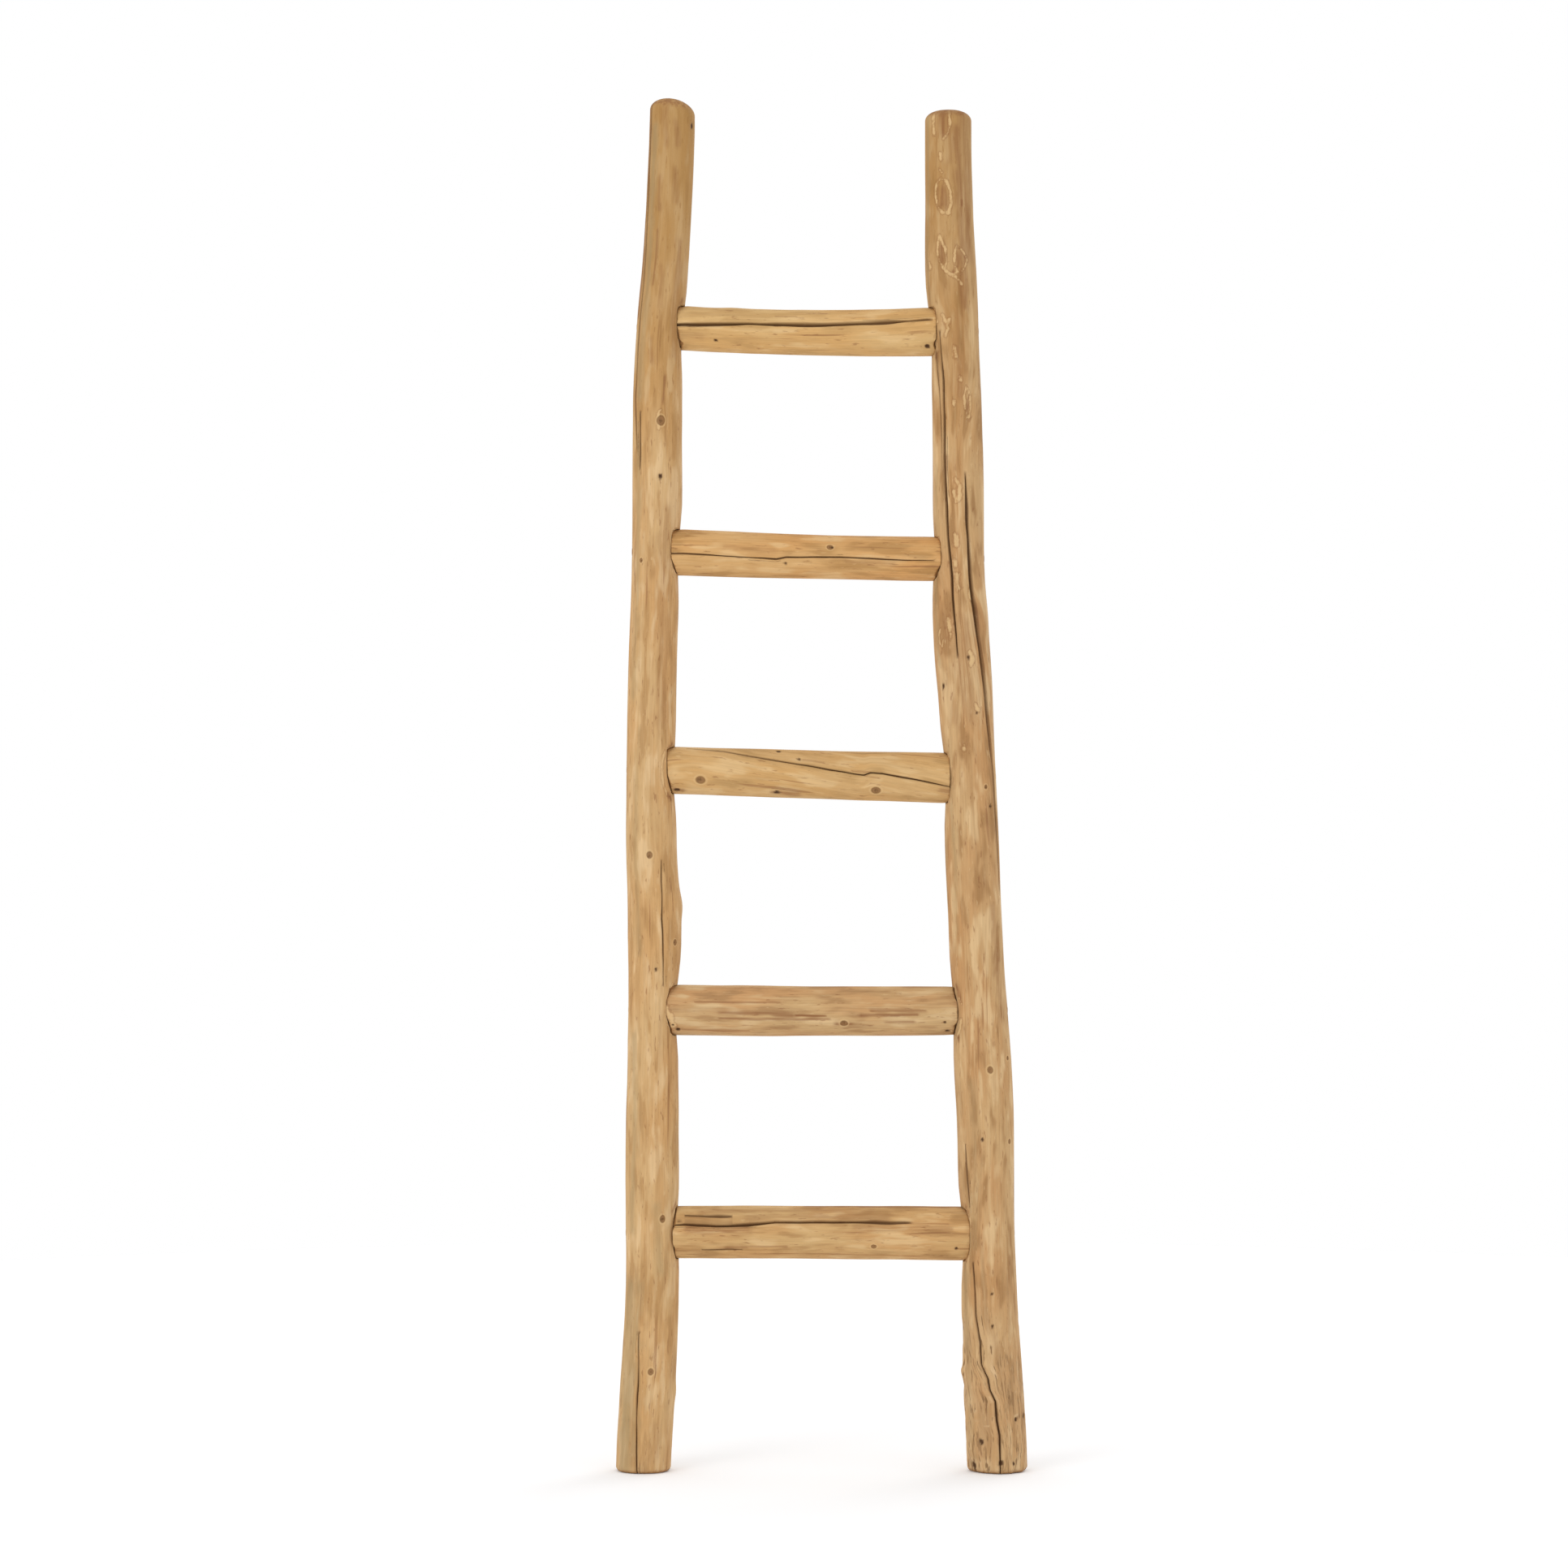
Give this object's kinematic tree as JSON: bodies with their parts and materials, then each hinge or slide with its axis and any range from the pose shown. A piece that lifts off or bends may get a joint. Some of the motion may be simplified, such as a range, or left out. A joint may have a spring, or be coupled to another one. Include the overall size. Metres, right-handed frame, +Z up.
{
  "type": "rustic wooden ladder",
  "caption": "Rustic leaning ladder of peeled round wood: crooked tapering poles joined by five round rungs, for hanging towels or blankets on.",
  "frame": {"origin": "middle of the bottom of the bounding box: on the floor, midway between the outer edges of the feet", "axes": "+Z up along the ladder, +X to its right seen from the front, and the front faces -Y"},
  "size_m": [0.5104, 0.0736, 1.7002],
  "materials": {
    "pole_wood": "peeled, dry and unvarnished",
    "pole_wood_dark": "peeled, dry and unvarnished, with bark scars and a weathered foot",
    "rung_wood": "peeled and lightly sanded, unvarnished",
    "plug_wood": "end grain, sanded flush",
    "screw_steel": "zinc plated"
  },
  "bodies": {
    "root": {"pole_left": "pole_wood", "pole_right": "pole_wood_dark", "rung_1": "rung_wood", "rung_2": "rung_wood", "rung_3": "rung_wood", "rung_4": "rung_wood", "rung_5": "rung_wood", "screw_left_1": "screw_steel", "screw_right_1": "screw_steel", "screw_left_2": "screw_steel", "screw_right_2": "screw_steel", "screw_left_3": "screw_steel", "screw_right_3": "screw_steel", "screw_left_4": "screw_steel", "screw_right_4": "screw_steel", "screw_left_5": "screw_steel", "screw_right_5": "screw_steel", "plug_left_1": "plug_wood", "plug_right_1": "plug_wood", "plug_left_2": "plug_wood", "plug_right_2": "plug_wood", "plug_left_3": "plug_wood", "plug_right_3": "plug_wood", "plug_left_4": "plug_wood", "plug_right_4": "plug_wood", "plug_left_5": "plug_wood", "plug_right_5": "plug_wood"}
  },
  "joints": []
}
